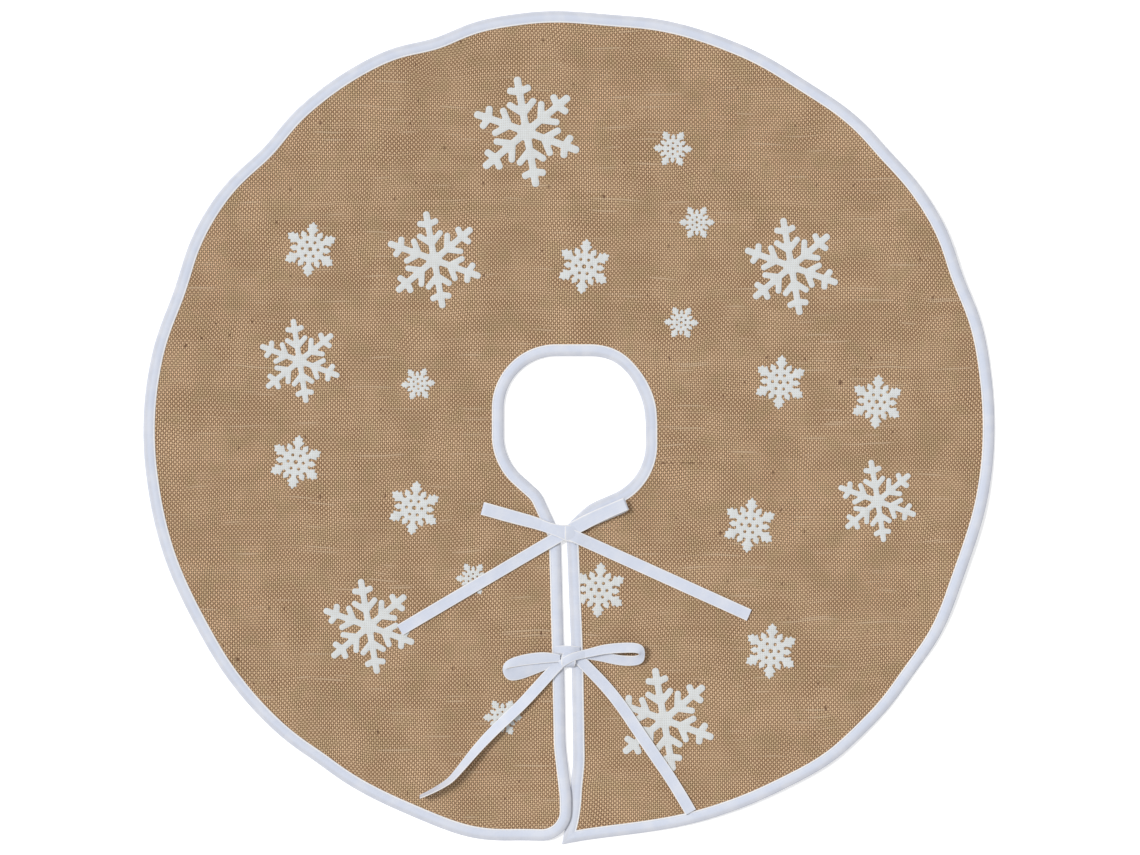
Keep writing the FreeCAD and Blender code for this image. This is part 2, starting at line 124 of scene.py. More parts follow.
@dataclass(frozen=True)
class Lie:
    """Low waves in the cloth, and the lap at the foot of the slit."""

    hem_wave: float = 2.6 * MM
    hem_waves: int = 6
    wave_reach: tuple[float, float] = (0.2, 0.375)      # distances from the middle where they begin and are full
    wave_bunching: float = 1.7          # how unevenly the waves are spaced
    wave_phase: float = 0.6
    wave_twist: float = 9.0             # how far they turn outwards, radians to the metre
    swell: float = 1.0 * MM
    swell_scale: float = 9.0            # swells to the metre
    swell_seed: float = 0.4
    tied_share: float = 0.9             # how much of the lie the bows hold down
    tied_beside: tuple[float, float] = (0.03, 0.12)     # distances from the slit over which that fades
    tied_down: float = 0.06             # distance down the slit over which it sets in
    lap_start: float = 292.0 * MM       # distance down the slit where its edges start to lap
    lap_full: float = 335.0 * MM
    lap_pull: float = 3.4 * MM          # how far the right edge goes under the left one
    tip_pull: float = 2.2 * MM          # and how much further at its tip
    tip_reach: tuple[float, float] = (0.345, 0.374)
    lap_rise: float = 2.7 * MM          # how far the left edge rises over it
    right_fade: tuple[float, float] = (0.014, 0.05)     # distances from the slit over which the laps fade
    left_fade: tuple[float, float] = (0.004, 0.05)
    slit_x: float = 3.3 * MM            # X of the slit's middle above its foot
    foot_x: float = 3.9 * MM            # X of it at its foot
    foot_start: float = 0.318
    foot_turn: float = 0.335            # distance down the slit where its middle turns aside
    foot_slope: float = 0.133
    neck_lean: float = 3.2 * MM         # how far the neck hole's right side leans in at the back
    lean_sides: tuple[float, float] = (0.04, 0.12)      # X between which it leans
    lean_middle: float = 0.066
    lean_spread: float = 0.02
    lean_sets_in: tuple[float, float] = (0.0, 0.04)     # Y over which the lean sets in
    lean_ends: tuple[float, float] = (0.05, 0.1)        # and over which it ends
    ripple_start: float = 0.26          # distance from the middle where the hem's ripples begin
    ripples: tuple[Ripple, ...] = (
        Ripple(-83.0, -2.6, 9.0), Ripple(-52.0, 2.4, 5.0), Ripple(-35.0, -2.6, 5.0), Ripple(-20.0, -4.6, 9.0),
        Ripple(21.0, -3.8, 5.0), Ripple(41.0, -1.8, 4.0), Ripple(56.0, -1.8, 5.0), Ripple(85.0, -2.6, 6.0),
        Ripple(109.0, -5.0, 4.5), Ripple(137.5, -5.0, 5.0), Ripple(161.0, -4.4, 6.0), Ripple(208.0, -2.2, 7.0),
        Ripple(233.0, -1.4, 4.0), Ripple(257.0, 3.6, 6.0))

    def height(self, x: float, y: float) -> float:
        """Height of the lie at a point of the plan.

        Args:
            x: Distance to the right of the middle.
            y: Distance behind the middle.

        Returns:
            The height that everything there is raised by, never below 0.
        """
        angle = math.atan2(y, x)
        out = math.hypot(x, y)
        bunched = self.wave_bunching * math.sin(2.0 * angle + self.wave_phase)
        wave = 0.5 + 0.5 * math.sin(self.hem_waves * angle + bunched + self.wave_twist * out)
        broad = 0.5 + 0.5 * noise.noise(Vector((x, y, self.swell_seed)) * self.swell_scale)
        tied = (1.0 - eased(abs(x), *self.tied_beside)) * eased(-y, 0.0, self.tied_down)
        waved = self.hem_wave * eased(out, *self.wave_reach) * wave
        return (1.0 - self.tied_share * tied) * (waved + self.swell * broad)

    def rippled(self, x: float, y: float) -> float:
        """How far the hem is moved out in the direction of a point.

        Args:
            x: Distance to the right of the middle.
            y: Distance behind the middle.

        Returns:
            The move outwards, in metres.
        """
        angle = math.degrees(math.atan2(y, x))
        return sum(ripple.at(angle) for ripple in self.ripples)

    def slit_middle(self, y: float) -> float:
        """X of the line between the two edges of the slit near its foot."""
        if y > -self.foot_start:
            return self.slit_x
        return self.foot_x - self.foot_slope * max(0.0, -self.foot_turn - y)

    def placed(self, point: Vector) -> Vector:
        """Where a point of the flat skirt comes to lie.

        Args:
            point: The point on the flat skirt.

        Returns:
            The same point, lapped at the foot of the slit and raised with the lie.
        """
        x, y, z = point
        out = math.hypot(x, y)
        if self.lean_sides[0] < x < self.lean_sides[1] and self.lean_sets_in[0] < y < self.lean_ends[1]:
            near = math.exp(-(((x - self.lean_middle) / self.lean_spread) ** 2))
            x -= self.neck_lean * near * eased(y, *self.lean_sets_in) * (1.0 - eased(y, *self.lean_ends))
        if out > self.ripple_start:
            reach = 1.0 + self.rippled(x, y) * eased(out, self.ripple_start, RIM) / out
            x, y = x * reach, y * reach
        down = eased(-y, self.lap_start, self.lap_full)
        if down > 0.0 and x > self.slit_middle(y):
            pull = down * self.lap_pull + eased(-y, *self.tip_reach) * self.tip_pull
            x -= pull * (1.0 - eased(x, *self.right_fade))
        elif down > 0.0:
            z += down * self.lap_rise * (1.0 - eased(-x, *self.left_fade))
        return Vector((x, y, z + self.height(x, y)))

    def settle(self, bm: bmesh.types.BMesh) -> None:
        """Lay a flat-built mesh onto the lie."""
        for vert in bm.verts:
            vert.co = self.placed(vert.co)


LIE = Lie()


# ------------------------------------------------------------------ finishes

class Number:
    """A number in a finish, as the socket that it comes from."""

    def __init__(self, recipe: "Recipe", socket: bpy.types.NodeSocket) -> None:
        """Hold the socket and the recipe that it is in."""
        self.recipe = recipe
        self.socket = socket

    def math(self, operation: str, *others: "Number | float") -> "Number":
        """Add a Math node.

        Args:
            operation: What it works out.
            *others: The numbers after this one.

        Returns:
            The result.
        """
        node = self.recipe.node("ShaderNodeMath", {"operation": operation}, dict(enumerate((self, *others))))
        return Number(self.recipe, node.outputs[0])

    def __add__(self, other: "Number | float") -> "Number":
        """This plus other."""
        return self.math("ADD", other)

    def __sub__(self, other: "Number | float") -> "Number":
        """This less other."""
        return self.math("SUBTRACT", other)

    def __rsub__(self, other: float) -> "Number":
        """Other less this."""
        return (self * -1.0) + other

    def __mul__(self, other: "Number | float") -> "Number":
        """This times other."""
        return self.math("MULTIPLY", other)

    def __truediv__(self, other: "Number | float") -> "Number":
        """This over other."""
        return self.math("DIVIDE", other)

    __radd__ = __add__
    __rmul__ = __mul__

    def eased(self, low: float, high: float) -> "Number":
        """Rise smoothly.

        Args:
            low: Where it leaves 0.
            high: Where it reaches 1.

        Returns:
            The eased number.
        """
        node = self.recipe.node("ShaderNodeMapRange", {"interpolation_type": "SMOOTHSTEP"},
                                {"Value": self, "From Min": low, "From Max": high})
        return Number(self.recipe, node.outputs["Result"])


class Recipe:
    """The nodes of one finish."""

    def __init__(self, name: str) -> None:
        """Start a material with a single Principled shader."""
        self.material = bpy.data.materials.new(name)
        self.material.use_nodes = True
        self.tree = self.material.node_tree
        self.tree.nodes.clear()
        self.shader = self.node("ShaderNodeBsdfPrincipled")
        self.node("ShaderNodeOutputMaterial", {}, {"Surface": self.shader.outputs[0]})

    def node(self, kind: str, settings: dict | None = None, inputs: dict | None = None) -> bpy.types.Node:
        """Add any node.

        Args:
            kind: Type of the node.
            settings: Its settings, which are set first.
            inputs: Values, sockets or numbers for its inputs, by name or index.

        Returns:
            The node.
        """
        made = self.tree.nodes.new(kind)
        for key, value in (settings or {}).items():
            setattr(made, key, value)
        for key, value in (inputs or {}).items():
            if isinstance(value, Number):
                value = value.socket
            if isinstance(value, bpy.types.NodeSocket):
                self.tree.links.new(value, made.inputs[key])
            else:
                made.inputs[key].default_value = value
        return made

    def plan(self) -> tuple[Number, Number]:
        """The two coordinates of the piece's own map, in metres."""
        split = self.node("ShaderNodeSeparateXYZ", {}, {0: self.node("ShaderNodeUVMap").outputs["UV"]})
        return Number(self, split.outputs["X"]), Number(self, split.outputs["Y"])

    def noise(self, x: Number, y: Number, scale: float, detail: float = 2.0) -> Number:
        """Add soft noise about 0.5.

        Args:
            x: First coordinate.
            y: Second coordinate.
            scale: How many lumps to the metre.
            detail: How many finer layers it has.

        Returns:
            The noise.
        """
        place = self.node("ShaderNodeCombineXYZ", {}, {"X": x, "Y": y})
        made = self.node("ShaderNodeTexNoise", {"noise_dimensions": "2D"},
                         {"Vector": place.outputs[0], "Scale": scale, "Detail": detail})
        return Number(self, made.outputs[0])

    def chance(self, step: Number) -> Number:
        """Draw a random number for each whole step.

        Args:
            step: A number that counts the steps.

        Returns:
            A number from 0 to 1 that holds over each step.
        """
        made = self.node("ShaderNodeTexWhiteNoise", {"noise_dimensions": "1D"}, {"W": step.math("FLOOR")})
        return Number(self, made.outputs["Value"])

    def between(self, share: Number, low: object, high: object) -> bpy.types.NodeSocket:
        """Mix two colours.

        Args:
            share: How much of the second there is.
            low: The first, as a colour or a socket.
            high: The second, as a colour or a socket.

        Returns:
            The mixed colour.
        """
        ends = {MIX_LOW: low, MIX_HIGH: high}
        ends = {key: (*value, 1.0) if isinstance(value, tuple) else value for key, value in ends.items()}
        mixed = self.node("ShaderNodeMix", {"data_type": "RGBA"}, {MIX_SHARE: share, **ends})
        return mixed.outputs[MIX_RESULT]

    def finish(self, colour: bpy.types.NodeSocket, height: Number, depth: float, strength: float,
               **constants: float) -> bpy.types.Material:
        """Connect colour and relief to the shader.

        Args:
            colour: Base colour.
            height: Relief, in parts of its depth.
            depth: Depth of the relief in metres.
            strength: Strength of the relief.
            **constants: Values for the shader's own sockets, with _ for a space.

        Returns:
            The finished material.
        """
        self.tree.links.new(colour, self.shader.inputs["Base Color"])
        bump = self.node("ShaderNodeBump", {}, {"Strength": strength, "Distance": depth, "Height": height})
        self.tree.links.new(bump.outputs[0], self.shader.inputs["Normal"])
        for name, value in constants.items():
            self.shader.inputs[name.replace("_", " ")].default_value = value
        return self.material


@dataclass(frozen=True)
class Weave:
    """Plain weave: its relief and which thread is on top."""

    warp_pitch: float
    weft_pitch: float
    wander: float

    def laid(self, recipe: Recipe, x: Number, y: Number) -> tuple[Number, Number, Number, Number]:
        """Lay the weave over two coordinates.

        Args:
            recipe: The finish that it is for.
            x: Coordinate across the warp.
            y: Coordinate across the weft.

        Returns:
            Relief from 0 in a gap to 1 on a thread, tone of the thread on top from 0 to 1, whether that is
            a warp thread, and the place across the weft in threads.
        """
        across = x / self.warp_pitch + (recipe.noise(x, y, 11.0) - 0.5) * self.wander
        along = y / self.weft_pitch + (recipe.noise(x + 3.1, y - 1.7, 11.0) - 0.5) * self.wander
        warp = (across * math.pi).math("SINE")
        weft = (along * math.pi).math("SINE")
        order = warp * weft
        warp_high = warp.math("ABSOLUTE") * (order * 0.5 + 0.5)
        weft_high = weft.math("ABSOLUTE") * (0.5 - order * 0.5)
        on_top = order.eased(-0.1, 0.1)
        warp_tone = recipe.chance(across)
        weft_tone = recipe.chance(along + 57.0)
        tone = on_top * (warp_tone - weft_tone) + weft_tone
        return warp_high.math("MAXIMUM", weft_high), tone, on_top, along


BURLAP_WEAVE = Weave(1.87 * MM, 2.0 * MM, 5.0)


@dataclass(frozen=True)
class Burlap:
    """Plain-woven jute with uneven threads and slubs, with painted shade in the gaps between the threads and
    along one open line.
    """

    name: str = "burlap"
    pale: Colour = (0.80, 0.56, 0.355)
    deep: Colour = (0.31, 0.185, 0.10)
    moss: Colour = (0.42, 0.33, 0.17)
    # gap: painted shade seen in the gaps between the threads
    gap: Colour = (0.11, 0.06, 0.032)
    straw: Colour = (0.70, 0.53, 0.36)
    # dark jute flecks, and painted shade along the open line
    bark_and_line_shade: Colour = (0.10, 0.045, 0.025)
    pulled: tuple[float, float, float] = (81.0 * MM, 120.0 * MM, -31.3 * MM)    # ends and Y of an open line between threads, painted dark as shade
    patch_scale: float = 26.0           # scales of the noise, to the metre
    fibre_scale: float = 700.0
    streak_scale: float = 16.0
    moss_scale: float = 48.0
    fleck_scale: float = 150.0
    break_scale: float = 160.0          # and of the gaps in the open line

    def make(self) -> bpy.types.Material:
        """Build the material."""
        recipe = Recipe(self.name)
        x, y = recipe.plan()
        high, tone, warp_up, thread = BURLAP_WEAVE.laid(recipe, x, y)
        patches = recipe.noise(x, y, self.patch_scale, 3.0)
        fibres = recipe.noise(x, y, self.fibre_scale, 2.0)
        streaks = recipe.noise(x, thread.math("FLOOR") * 7.3, self.streak_scale, 1.0)
        shade = warp_up * 0.72 + tone * 0.28 + patches.eased(0.3, 0.7) * 0.18 + fibres * 0.5 - 0.3
        jute = recipe.between(shade, self.deep, self.pale)
        mossy = recipe.noise(x, y + 2.0, self.moss_scale, 3.0).eased(0.42, 0.75)
        tinted = recipe.between(mossy * 0.3, jute, self.moss)
        slub = recipe.between(streaks.eased(0.68, 0.8) * 0.5, tinted, self.straw)
        start, end, place = self.pulled
        # Painted shade along an open line where the threads part, added to the dark jute flecks.
        between_ends = x.eased(start, start + MM) * (1.0 - x.eased(end - MM, end))
        line = between_ends * recipe.noise(x, y, self.break_scale).eased(0.4, 0.6)
        open_line_shade = line * (1.0 - (y - place).math("ABSOLUTE").eased(0.4 * MM, 0.8 * MM))
        flecks_and_line_shade = recipe.noise(x + 0.7, y * 0.6, self.fleck_scale, 1.0).eased(0.8, 0.86) + open_line_shade
        # Painted shade: where the relief is low, between the threads, the colour turns to the gap colour.
        closed = high.math("SUBTRACT", tone * 0.1).eased(0.14, 0.52)
        cloth = recipe.between(closed, self.gap, slub)
        colour = recipe.between(flecks_and_line_shade * 0.7, cloth, self.bark_and_line_shade)
        return recipe.finish(colour, high + fibres * 0.15, 0.5 * MM, 0.8, Roughness=0.92,
                             Specular_IOR_Level=0.15)


@dataclass(frozen=True)
class Ink:
    """Thick off-white ink that takes up the weave under it."""

    name: str = "snow_print"
    body: Colour = (0.69, 0.715, 0.72)
    thin: Colour = (0.46, 0.43, 0.38)

    def make(self) -> bpy.types.Material:
        """Build the material."""
        recipe = Recipe(self.name)
        x, y = recipe.plan()
        high, tone, _, _ = BURLAP_WEAVE.laid(recipe, x, y)
        cover = high.eased(0.0, 0.45) * 0.75 + recipe.noise(x, y, 140.0, 3.0) * 0.35 + tone * 0.08
        colour = recipe.between(cover, self.thin, self.body)
        return recipe.finish(colour, high, 0.35 * MM, 0.5, Roughness=0.6, Specular_IOR_Level=0.3)


class TapeKind(Enum):
    """The two cotton tapes."""

    EDGE = "edge_tape"
    TIE = "tie_tape"


@dataclass(frozen=True)
class Cotton:
    """Fine white cotton tape with paler, firmer edges that also carry a painted highlight, and painted shade
    where the edge tape rolls down to its fold; the map runs along the tape and across it.
    """

    kind: TapeKind
    body: Colour = (0.63, 0.675, 0.79)
    # shaded: painted shade where the edge tape rolls down towards its fold
    shaded: Colour = (0.585, 0.61, 0.69)
    # edge: firmer selvedge colour together with a painted highlight along the edges
    edge: Colour = (0.86, 0.85, 0.85)
    half_width: float = 5.3 * MM
    inner_edge: float = 9.5 * MM
    rolled: float = 4.2 * MM            # width of the part that rolls down to the fold, painted in shade
    weave: Weave = Weave(0.55 * MM, 0.6 * MM, 1.0)

    def make(self) -> bpy.types.Material:
        """Build the material."""
        recipe = Recipe(self.kind.value)
        along, across = recipe.plan()
        high, tone, _, _ = self.weave.laid(recipe, along, across)
        if self.kind is TapeKind.TIE:
            pale_edge_and_highlight = across.math("ABSOLUTE").eased(self.half_width * 0.76, self.half_width * 0.96)
            body = self.body
        else:
            pale_edge_and_highlight = across.eased(self.inner_edge - 0.6 * MM, self.inner_edge + 0.4 * MM)
            # Painted shade: the edge tape darkens towards its fold, where it rolls down away from the light.
            body = recipe.between(across.eased(self.rolled * 0.6, self.rolled * 1.2), self.shaded, self.body)
        wear = recipe.noise(along, across, 70.0, 3.0)
        # The pale edges are partly firmer selvedge and partly painted highlight.
        share = pale_edge_and_highlight * 0.8 + wear.eased(0.35, 0.75) * 0.22 + tone * 0.1
        colour = recipe.between(share, body, self.edge)
        pucker = recipe.noise(along, across, 260.0, 1.0)
        return recipe.finish(colour, high * 0.5 + pucker, 0.3 * MM, 0.45, Roughness=0.88,
                             Specular_IOR_Level=0.2, Sheen_Weight=0.1)


@dataclass(frozen=True)
class Thread:
    """White sewing thread with a fine slanting twist, its ridges painted lit and its grooves painted in shade,
    on the skirt's own coordinates.
    """

    name: str = "sewing_thread"
    # lit is painted light on the ridges of the twist, deep is painted shade in its grooves
    lit: Colour = (0.80, 0.81, 0.84)
    deep: Colour = (0.56, 0.58, 0.64)
    twist_pitch: float = 0.35 * MM

    def make(self) -> bpy.types.Material:
        """Build the material."""
        recipe = Recipe(self.name)
        place = recipe.node("ShaderNodeTexCoord").outputs["Object"]
        split = recipe.node("ShaderNodeSeparateXYZ", {}, {0: place})
        slant = Number(recipe, split.outputs["X"]) + Number(recipe, split.outputs["Y"])
        twist = (slant * (math.pi / self.twist_pitch)).math("SINE") * 0.5 + 0.5
        # Painted light and shade: the twist's ridges take the lit colour and its grooves the deep one.
        colour = recipe.between(twist, self.deep, self.lit)
        return recipe.finish(colour, twist, 0.1 * MM, 0.4, Roughness=0.55)


@dataclass(frozen=True)
class StudioFloor:
    """Pale matt floor."""

    name: str = "studio_floor"
    tint: Colour = (0.9, 0.9, 0.9)
    glow: float = 0.32

    def make(self) -> bpy.types.Material:
        """Build the material."""
        recipe = Recipe(self.name)
        recipe.shader.inputs["Base Color"].default_value = (*self.tint, 1.0)
        recipe.shader.inputs["Roughness"].default_value = 0.9
        recipe.shader.inputs["Specular IOR Level"].default_value = 0.0
        recipe.shader.inputs["Emission Color"].default_value = (1.0, 1.0, 1.0, 1.0)
        recipe.shader.inputs["Emission Strength"].default_value = self.glow
        return recipe.material


# ------------------------------------------------------------------ mesh work

def copied_nodes(names: Sequence[str]) -> bmesh.types.BMesh:
    """Copy CAD nodes into one mesh with their loose triangles joined.

    Args:
        names: The nodes.

    Returns:
        The mesh.
    """
    bm = bmesh.new()
    for name in names:
        bm.from_mesh(frame["nodes"][name].data)
    bmesh.ops.remove_doubles(bm, verts=bm.verts, dist=WELD)
    return bm


def sliced(bm: bmesh.types.BMesh, axis: int, place: float) -> None:
    """Cut a mesh through along an upright plane.

    Args:
        bm: The mesh.
        axis: The axis that the plane is square to, 0 for X or 1 for Y.
        place: Where it stands on that axis.
    """
    normal = Vector((axis == 0, axis == 1, 0.0))
    bmesh.ops.bisect_plane(bm, geom=[*bm.verts, *bm.edges, *bm.faces], dist=WELD, plane_co=normal * place,
                           plane_no=normal)


def diced(bm: bmesh.types.BMesh, step: float) -> None:
    """Cut a flat mesh along a grid so that it can follow the lie, with finer rows where it bends.

    Args:
        bm: The mesh.
        step: Size of the grid.
    """
    for axis in (0, 1):
        places = [vert.co[axis] for vert in bm.verts]
        first, last = math.ceil(min(places) / step), math.floor(max(places) / step)
        rows = {number * step for number in range(first, last + 1)}
        if axis == 1:
            count = round((BEND_LINE - BEND_END) / BEND_ROW)
            rows |= {BEND_LINE - number * BEND_ROW for number in range(count + 1)}
        for place in sorted(row for row in rows if min(places) < row < max(places)):
            sliced(bm, axis, place)


def mapped_in_plan(bm: bmesh.types.BMesh) -> None:
    """Give every corner its place in the plan as its map.

    Args:
        bm: The mesh.
    """
    layer = bm.loops.layers.uv.get("UVMap") or bm.loops.layers.uv.new("UVMap")
    for face in bm.faces:
        for loop in face.loops:
            loop[layer].uv = loop.vert.co.xy


def smooth_points(controls: Sequence[Point], order: int = 3, steps: int = 8) -> np.ndarray:
    """Points of a smooth line from its control points.

    Args:
        controls: Control points in millimetres.
        order: Order of the spline.
        steps: Points for each control point.

    Returns:
        Points along the line, in metres.
    """
    curve = bpy.data.curves.new("line", "CURVE")
    curve.dimensions = "3D"
    curve.resolution_u = steps
    spline = curve.splines.new("NURBS")
    spline.points.add(len(controls) - 1)
    for point, control in zip(spline.points, controls):
        point.co = (*control, 1.0)
    spline.order_u = order
    spline.use_endpoint_u = True
    return evaluated(curve)


def evaluated(curve: bpy.types.Curve) -> np.ndarray:
    """Read the points of a curve.

    Args:
        curve: The curve, in millimetres; it is used up.

    Returns:
        Its points, in metres.
    """
    holder = bpy.data.objects.new("line", curve)
    bpy.context.scene.collection.objects.link(holder)
    mesh = bpy.data.meshes.new_from_object(holder)
    points = np.array([vert.co for vert in mesh.vertices]) * MM
    bpy.data.objects.remove(holder)
    bpy.data.curves.remove(curve)
    bpy.data.meshes.remove(mesh)
    return points


def distances(points: np.ndarray) -> np.ndarray:
    """Distance along a line at each of its points."""
    return np.concatenate([[0.0], np.cumsum(np.linalg.norm(np.diff(points, axis=0), axis=1))])


@dataclass
class Station:
    """One place along a sweep: where the section is, its two directions, and how far along it is."""

    origin: Vector
    across: Vector
    up: Vector
    along: float

    def point(self, across: float, up: float) -> Vector:
        """A point of the section."""
        return self.origin + self.across * across + self.up * up


def swept(section: Sequence[tuple[float, float]], stations: Sequence[Station],
          width: Callable[[float], float]) -> bmesh.types.BMesh:
    """Carry a closed section along stations.

    Args:
        section: Its points as across and up.
        stations: Where it is carried to.
        width: Map coordinate across the piece for a section point's across.

    Returns:
        A closed mesh, mapped in metres along and across.
    """
    bm = bmesh.new()
    layer = bm.loops.layers.uv.new("UVMap")
    columns = len(section)
    bmesh.ops.create_grid(bm, x_segments=columns, y_segments=len(stations) - 1, size=0.5)
    bm.verts.index_update()
    for face in bm.faces:
        for loop in face.loops:
            row, column = divmod(loop.vert.index, columns + 1)
            loop[layer].uv = (stations[row].along, width(section[column % columns][0]))
    for vert in bm.verts:
        row, column = divmod(vert.index, columns + 1)
        vert.co = stations[row].point(*section[column % columns])
    bmesh.ops.remove_doubles(bm, verts=bm.verts, dist=WELD)
    bmesh.ops.holes_fill(bm, edges=[edge for edge in bm.edges if edge.is_boundary], sides=0)
    bmesh.ops.recalc_face_normals(bm, faces=bm.faces)
    return bm


def as_piece(bm: bmesh.types.BMesh, name: str, finish: bpy.types.Material) -> bpy.types.Object:
    """Turn a mesh into a finished piece.

    Args:
        bm: The mesh, in place; it is used up.
        name: Name of the piece.
        finish: Its material.

    Returns:
        The piece.
    """
    mesh = bpy.data.meshes.new(name)
    bm.to_mesh(mesh)
    bm.free()
    mesh.polygons.foreach_set("use_smooth", [True] * len(mesh.polygons))
    mesh.set_sharp_from_angle(angle=CREASE)
    mesh.materials.append(finish)
    piece = bpy.data.objects.new(name, mesh)
    bpy.context.scene.collection.objects.link(piece)
    log.info("%s: %d faces", name, len(mesh.polygons))
    return piece


def bends(piece: bpy.types.Object) -> bpy.types.Object:
    """Bake a piece's placement into its mesh, leaving it unbent."""
    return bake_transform(piece)


# ------------------------------------------------------------------ cloth and prints

@dataclass
class BurlapPanel:
    """The one piece of burlap."""

    finish: bpy.types.Material
    nodes: tuple[str, ...] = ("back_panel", "left_middle_panel", "right_middle_panel", "left_front_panel",
                              "right_front_panel")
    thickness: float = 1.0 * MM
    dice: float = 5.0 * MM
    gap: float = 0.3 * MM               # twice the distance of the CAD's cut edges from the bend line
    flat: tuple[float, float] = (0.762, 0.748)
    cut_area: float = 0.431

    def build(self) -> bpy.types.Object:
        """Make one waved sheet from the tops of the CAD panels.

        Returns:
            The cloth.
        """
        bm = copied_nodes(self.nodes)
        low = [face for face in bm.faces if face.normal.z < FLAT_NORMAL]
        bmesh.ops.delete(bm, geom=low, context="FACES")
        cut = [vert for vert in bm.verts if abs(vert.co.y - BEND_LINE) < self.gap]
        for vert in cut:
            vert.co.y = BEND_LINE
        bmesh.ops.remove_doubles(bm, verts=cut, dist=self.gap)
        bmesh.ops.dissolve_limit(bm, angle_limit=COPLANAR, verts=[], edges=bm.edges)
        diced(bm, self.dice)
        under = bmesh.ops.extrude_face_region(bm, geom=bm.faces, use_keep_orig=True)["geom"]
        down = [item for item in under if isinstance(item, bmesh.types.BMVert)]
        bmesh.ops.translate(bm, verts=down, vec=(0.0, 0.0, -self.thickness))
        bmesh.ops.recalc_face_normals(bm, faces=bm.faces)
        mapped_in_plan(bm)
        LIE.settle(bm)
        piece = bends(as_piece(bm, "burlap_cloth", self.finish))
        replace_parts(piece, *self.nodes)
        return piece


@dataclass
class SnowPrints:
    """The snowflakes printed on the burlap."""

    finish: bpy.types.Material
    prefix: str = "snowflake"
    rounding: float = 0.14 * MM
    dice: float = 5.0 * MM
    sunk: float = 0.04 * MM             # how deep the ink sits in the cloth

    def build(self) -> list[bpy.types.Object]:
        """Make every print."""
        names = sorted(name for name in frame["nodes"] if name.startswith(self.prefix))
        return [self.print(name) for name in names]

    def print(self, name: str) -> bpy.types.Object:
        """Make one print with a rounded rim, lying as the cloth does.

        Args:
            name: Its CAD node.

        Returns:
            The print.
        """
        bm = copied_nodes([name])
        bmesh.ops.dissolve_limit(bm, angle_limit=COPLANAR, verts=[], edges=bm.edges)
        rim = [edge for edge in bm.edges if self.is_rim(edge)]
        bmesh.ops.bevel(bm, geom=rim, offset=self.rounding, offset_type="OFFSET", segments=2, profile=0.5,
                        affect="EDGES", clamp_overlap=False, material=-1)
        diced(bm, self.dice)
        bmesh.ops.translate(bm, verts=bm.verts, vec=(0.0, 0.0, -self.sunk))
        mapped_in_plan(bm)
        LIE.settle(bm)
        piece = as_piece(bm, "print_" + name, self.finish)
        body = frame["nodes"][name]["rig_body"]
        if body == "front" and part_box(name)[1].y > BEND_END:
            bends(piece)
        else:
            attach(piece, body)
        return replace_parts(piece, name)

    @staticmethod
    def is_rim(edge: bmesh.types.BMEdge) -> bool:
        """Tell whether an edge is between the top and a side.

        Args:
            edge: The edge.

        Returns:
            True where it is.
        """
        heights = sorted(face.normal.z for face in edge.link_faces)
        return len(heights) == 2 and heights[1] > FLAT_NORMAL and abs(heights[0]) < UPRIGHT


# ------------------------------------------------------------------ edge tape and its seam

